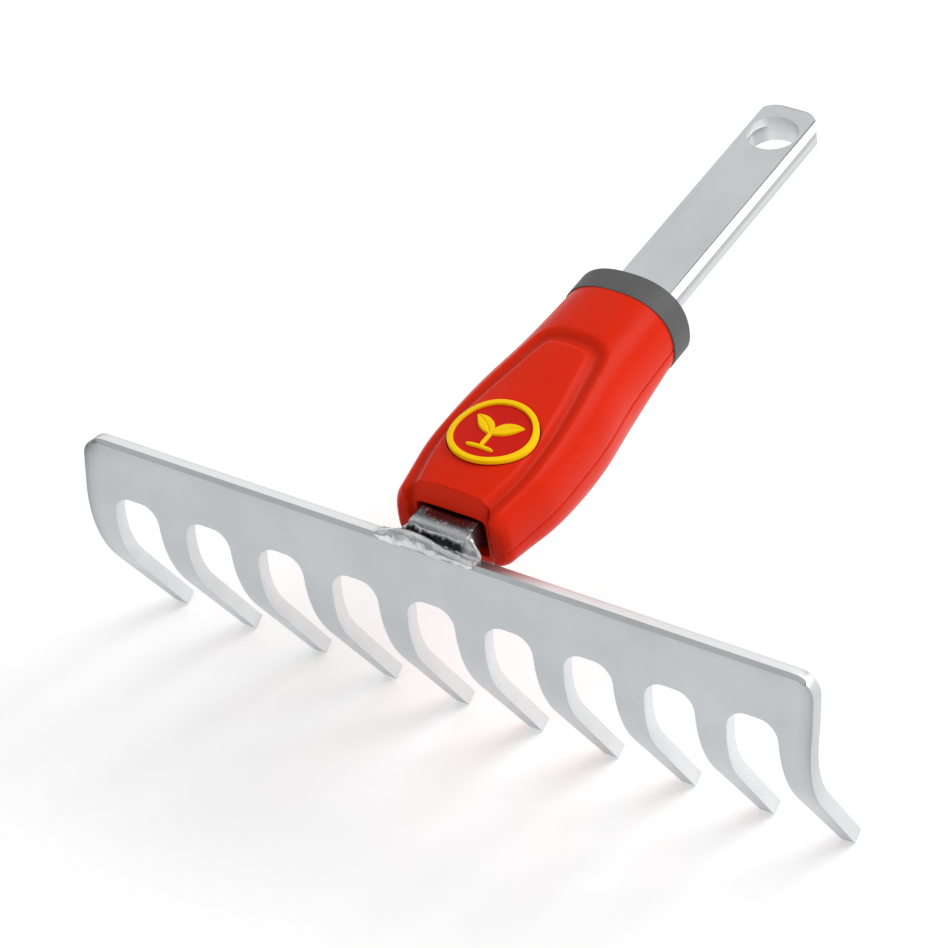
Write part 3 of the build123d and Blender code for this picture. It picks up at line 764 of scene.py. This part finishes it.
def button_hole_cutter():
    """A well that flares at the housing's surface, so that the hole's rim is softly rounded."""
    r = BUTTON_R + BUTTON_GAP
    bm = bmesh.new()
    top = crown(0)
    lathe(bm, [(AXIS_R, WELL_FLOOR), (r, WELL_FLOOR), (r, top - 1.0), (r, top - 0.42),
               (r + 0.06, top - 0.24), (r + 0.18, top - 0.10), (r + 0.38, top - 0.01),
               (r + 0.8, top + 0.12), (r + 1.4, top + 1.0), (AXIS_R, top + 2.5)],
          BUTTON_Y, 180, button_height)
    close_ends(bm)
    return bm


# ------------------------------------------------------------------------------- button

RING_INNER_R, RING_TOP, RING_SOFT = 8.9, 12.2, 0.22
CAP_WALL, CAP_EDGE_R = 1.4, 9.6
BELOW_CAD = 0.15  # the button's tops lie this far under the CAD's


def build_cap():
    bm = bmesh.new()
    low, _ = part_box("button_cap")
    skirt, top = low.z / MM, CAP_TOP - BELOW_CAD
    profile = [(AXIS_R, top), *((r, top) for r in np.linspace(1.5, BUTTON_R - 1.5, 8)),
               (CAP_EDGE_R, top), (CAP_EDGE_R + 0.05, top - 0.2), (CAP_EDGE_R + 0.1, top - 0.45),
               (BUTTON_R - 0.25, top - 0.5), (BUTTON_R - 0.08, top - 0.62), (BUTTON_R, top - 0.9),
               (BUTTON_R, skirt), (BUTTON_R - CAP_WALL, skirt), (BUTTON_R - CAP_WALL, top - 1.6),
               (AXIS_R, top - 1.6)]
    lathe(bm, profile, BUTTON_Y, 160, button_height)
    close_ends(bm)
    return piece("button_disc", bm, "button", "dark_red_plastic", DARK_RED, "button_cap")


def build_ring():
    bm = bmesh.new()
    low, top = CAP_TOP - 0.5, RING_TOP - BELOW_CAD
    turns = np.linspace(0, pi / 2, 5)
    profile = [(RING_INNER_R, low)]
    profile += [(RING_INNER_R + RING_SOFT * (1 - cos(a)), top - RING_SOFT * (1 - sin(a))) for a in turns]
    profile += [((RING_INNER_R + BUTTON_R) / 2, top + 0.03)]
    profile += [(BUTTON_R - RING_SOFT * (1 - sin(a)), top - RING_SOFT * (1 - cos(a))) for a in turns]
    profile += [(BUTTON_R, low), profile[0]]
    lathe(bm, profile, BUTTON_Y, 160, button_height)
    bmesh.ops.remove_doubles(bm, verts=bm.verts[:], dist=1e-4)
    bmesh.ops.recalc_face_normals(bm, faces=bm.faces[:])
    return piece("button_rim", bm, "button", "yellow_plastic", YELLOW, "button_ring")


LEAF_LENGTH, LEAF_BULGE, LEAF_LIFT, LEAF_FOOT_Y = 7.8, 1.9, 38.0, -1.2
STALK_WIDTH, STALK_LENGTH, SOIL_WIDTH, BADGE_THICK = 1.1, 4.6, 7.0, 0.5


def badge_patch(bm, spine, halves, rib=0.0):
    """A raised strip with soft edges along a spine of (x, y), given half widths; rib is a vein's depth."""
    rows = []
    steps = np.linspace(-1, 1, 17)
    base = CAP_TOP - 0.4
    for k, ((x, y), half) in enumerate(zip(spine, halves)):
        near, far = spine[max(0, k - 1)], spine[min(len(spine) - 1, k + 1)]
        tangent = Vector((far[0] - near[0], far[1] - near[1], 0)).normalized()
        side = Vector((-tangent.y, tangent.x, 0))
        row = []
        for t in steps:
            p = Vector((x, y, 0)) + side * (half * t)
            edge = min(1.0, (1 - abs(t)) * half / 0.32)
            rise = BADGE_THICK * sqrt(max(0.0, 1 - (1 - edge) ** 2))
            rise -= rib * max(0.0, 1 - abs(t) * half / 0.28) * min(1.0, half / 0.6)
            row.append((p.x, p.y + BUTTON_Y, CAP_TOP - BELOW_CAD + rise + button_height(p.x, 0)))
        rows.append([(row[0][0], row[0][1], base + button_height(row[0][0], 0) - 0.3)] + row
                    + [(row[-1][0], row[-1][1], base + button_height(row[-1][0], 0) - 0.3)])
    grid_faces(bm, rows, closed_columns=True)


def build_badge():
    """A plain sprout: two leaves on a stalk that stands on a line of soil."""
    bm = bmesh.new()
    lift = radians(LEAF_LIFT)
    for side in (1, -1):
        spine, halves = [], []
        for t in np.linspace(0, 1, 26):
            reach = LEAF_LENGTH * t
            sag = 0.55 * sin(pi * t)
            spine.append((side * (reach * cos(lift) - sag * sin(lift)),
                          LEAF_FOOT_Y + reach * sin(lift) + sag * cos(lift)))
            halves.append(max(0.06, LEAF_BULGE * sin(pi * t) ** 0.75 * (1.06 - 0.25 * t)))
        badge_patch(bm, spine, halves, rib=0.22)
    stalk = [(0, LEAF_FOOT_Y + 0.5 - (STALK_LENGTH + 0.5) * t) for t in np.linspace(0, 1, 12)]
    badge_patch(bm, stalk, [STALK_WIDTH / 2] * 9 + [0.45, 0.30, 0.15])
    soil_y = LEAF_FOOT_Y - STALK_LENGTH
    soil = [(SOIL_WIDTH / 2 * t, soil_y + 0.25 * (1 - t * t)) for t in np.linspace(-1, 1, 30)]
    badge_patch(bm, soil, [STALK_WIDTH / 2 * max(0.12, sqrt(max(0.0, 1 - abs(t) ** 6)))
                           for t in np.linspace(-1, 1, 30)])
    close_ends(bm)
    return piece("button_sprout", bm, "button", "yellow_plastic", YELLOW, "button_badge", crease=50)


# ------------------------------------------------------------------------------- tang, collar, inside

RECESS_R, RECESS_FROM, RECESS_TO = 3.3, -14, -8.9


def refined(name, node, body, slot, material, width, angle=35, crease=32):
    """A copy of a CAD node with its sharp edges rounded."""
    bm = bmesh.new()
    bm.from_mesh(nodes[node].data)
    bmesh.ops.scale(bm, vec=(1 / MM,) * 3, verts=bm.verts[:])
    bmesh.ops.remove_doubles(bm, verts=bm.verts[:], dist=1e-3)
    bmesh.ops.dissolve_limit(bm, angle_limit=radians(0.6), verts=bm.verts[:], edges=bm.edges[:])
    round_edges(bm, width, angle)
    return piece(name, bm, body, slot, material, node, crease=crease)


def build_spring():
    """The coil spring in the tang's pocket, its end turns closed."""
    low, high = (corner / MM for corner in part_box("button_spring"))
    climb = high.z - low.z - SPRING_WIRE
    turns = np.linspace(0, SPRING_TURNS, 40 * SPRING_TURNS + 1)
    heights = curve_through([(0, 0), (SPRING_CLOSED, SPRING_WIRE * SPRING_CLOSED),
                             (SPRING_TURNS - SPRING_CLOSED, climb - SPRING_WIRE * SPRING_CLOSED),
                             (SPRING_TURNS, climb)], turns)
    bm = bmesh.new()
    rows = []
    for turn, height in zip(turns, heights):
        row = []
        for around in np.linspace(0, 2 * pi, 16, endpoint=False):
            reach = SPRING_R + SPRING_WIRE / 2 * cos(around)
            row.append((reach * cos(2 * pi * turn), BUTTON_Y + reach * sin(2 * pi * turn),
                        low.z + height + SPRING_WIRE / 2 * (1 + sin(around))))
        rows.append(row)
    grid_faces(bm, rows, closed_columns=True)
    close_ends(bm)
    made = piece("button_spring_coil", bm, "head", "spring_steel", SPRING, "button_spring", crease=50)
    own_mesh(made)


def screw_recess_cutter():
    """The well in the lower shell that the screw's head sits in, slightly flared at its mouth."""
    screw_low, screw_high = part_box("housing_screw")
    bm = bmesh.new()
    lathe(bm, [(AXIS_R, RECESS_FROM), (RECESS_R + 0.4, RECESS_FROM), (RECESS_R + 0.2, -11.2),
               (RECESS_R, -10.7), (RECESS_R, RECESS_TO), (AXIS_R, RECESS_TO)],
          (screw_low.y + screw_high.y) / 2 / MM, 64)
    close_ends(bm)
    return bm


def keep_cad(node, material):
    """Leaves a CAD node's shape as it is and gives it a better material."""
    nodes[node].data.materials.clear()
    nodes[node].data.materials.append(material)


build_comb()
build_bead_top()
build_bead_under()
refined("tang", "tang_bar", "head", "polished_tang", TANG, 0.3)
upper = build_shell("housing_upper", True, "upper_shell")
cut(upper, button_hole_cutter())
mark_groove(upper)
lower = build_shell("housing_lower", False, "lower_shell")
cut(lower, screw_recess_cutter())
mark_groove(lower)
refined("collar", "collar_ring", "head", "grey_plastic", GREY, 0.25)
build_cap()
build_ring()
build_badge()
keep_cad("nose_block", BLACK)
keep_cad("housing_screw", LOCK)
keep_cad("lock_bolt", LOCK)
keep_cad("retaining_clip", SPRING)
build_spring()

# ------------------------------------------------------------------------------- floor, light, camera

FLOOR_REACH, FLOOR_GAP, FLOOR_GLOW, SKY_STRENGTH = 6.0, 0.0002, 0.27, 0.9  # metres and strengths


def build_floor():
    low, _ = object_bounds()
    mesh = bpy.data.meshes.new("floor")
    corners = ((-1, -1), (1, -1), (1, 1), (-1, 1))
    mesh.from_pydata([(x * FLOOR_REACH, y * FLOOR_REACH, low.z - FLOOR_GAP) for x, y in corners],
                     [], [(0, 1, 2, 3)])
    made = bpy.data.objects.new("floor", mesh)
    bpy.context.scene.collection.objects.link(made)
    material, tree, shader = new_material("floor", Roughness=0.85, Specular_IOR_Level=0.1,
                                          Emission_Color=(1, 1, 1, 1), Emission_Strength=FLOOR_GLOW)
    tone = ramp(tree, noise_factor(tree, 3, 3, 0.5), (0.3, 0.90), (0.7, 0.92))
    tree.links.new(tone, shader.inputs["Base Color"])
    mesh.materials.append(material)


def area_light(name, place, aim, size, power):
    data = bpy.data.lights.new(name, "AREA")
    data.shape, data.size, data.size_y, data.energy = "RECTANGLE", size[0], size[1], power
    made = bpy.data.objects.new(name, data)
    made.location = place
    made.rotation_euler = (Vector(aim) - Vector(place)).to_track_quat("-Z", "Y").to_euler()
    bpy.context.scene.collection.objects.link(made)


def light_scene():
    """A studio that is dark below and bright above, behind and to the right, and one soft lamp."""
    world = bpy.data.worlds.new("studio")
    world.use_nodes = True
    tree = world.node_tree
    place = tree.nodes.new("ShaderNodeTexCoord")
    split = tree.nodes.new("ShaderNodeSeparateXYZ")
    tree.links.new(place.outputs["Generated"], split.inputs[0])
    sky = ramp(tree, split.outputs["Z"], (0.0, 0.26), (0.35, 0.34), (0.60, 0.82), (0.85, 0.76))
    backdrop = ramp(tree, split.outputs["Y"], (0.15, 0.0), (0.50, 0.86))
    sky = blend(tree, "LIGHTEN", 1.0, sky, backdrop)
    right_wall = ramp(tree, split.outputs["X"], (0.25, 0.0), (0.60, 0.85))
    sky = blend(tree, "LIGHTEN", 1.0, sky, right_wall)
    background = tree.nodes["Background"]
    tree.links.new(sky, background.inputs["Color"])
    background.inputs["Strength"].default_value = SKY_STRENGTH
    bpy.context.scene.world = world
    area_light("key", (1.00, 1.05, 1.15), (0, -0.03, 0), (1.2, 0.9), 15)


def build_camera():
    """The camera stands off from its aim by azimuth and elevation and is rolled a little."""
    aim, distance = Vector((-0.0044, -0.0641, 0.0)), 0.8475
    azimuth, elevation, roll = radians(38.13), radians(41.53), radians(-9.44)
    back = Vector((sin(azimuth) * cos(elevation), -cos(azimuth) * cos(elevation), sin(elevation)))
    data = bpy.data.cameras.new("camera")
    data.lens, data.sensor_width = 144.6, 36.0
    made = bpy.data.objects.new("camera", data)
    turn = (-back).to_track_quat("-Z", "Y").to_matrix().to_4x4() @ Matrix.Rotation(roll, 4, "Z")
    made.matrix_world = Matrix.Translation(aim + back * distance) @ turn
    bpy.context.scene.collection.objects.link(made)
    bpy.context.scene.camera = made


build_floor()
light_scene()
build_camera()
bpy.context.scene.view_settings.view_transform = "Standard"
